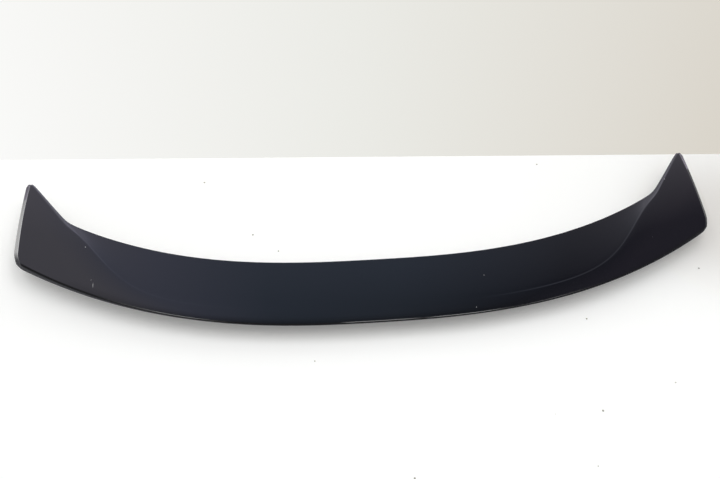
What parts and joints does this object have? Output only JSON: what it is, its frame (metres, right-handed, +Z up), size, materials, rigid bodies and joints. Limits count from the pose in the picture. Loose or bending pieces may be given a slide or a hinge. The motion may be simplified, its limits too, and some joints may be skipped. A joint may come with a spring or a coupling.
{
  "type": "trunk spoiler",
  "caption": "Low trunk lid spoiler with horned ends, a creased upper surface, a bonded inner panel, foam tape and threaded mounting studs.",
  "frame": {"origin": "midway between the two inner studs, near where their threads leave the seals and 20 mm above the plane that all four stud tips stand on", "axes": "+X to the right seen from behind the car, +Y to the front of the car and the horn tips, +Z up"},
  "size_m": [1.2154, 0.3304, 0.0686],
  "materials": {
    "gloss_skin": "polished black lacquer",
    "matt_panel": "fine moulded grain",
    "foam_tape": "closed-cell foam with a film liner",
    "stud_steel": "zinc plated",
    "seal_foam": "soft closed-cell foam"
  },
  "bodies": {
    "root": {"outer_skin": "gloss_skin", "inner_panel": "matt_panel", "tape_front_left": "foam_tape", "tape_front_right": "foam_tape", "tape_rear_left": "foam_tape", "tape_rear_right": "foam_tape", "tape_end_left": "foam_tape", "tape_end_right": "foam_tape", "stud_inner_left": "stud_steel", "stud_inner_right": "stud_steel", "stud_outer_left": "stud_steel", "stud_outer_right": "stud_steel", "seal_inner_left": "seal_foam", "seal_inner_right": "seal_foam", "seal_outer_left": "seal_foam", "seal_outer_right": "seal_foam"}
  },
  "joints": []
}
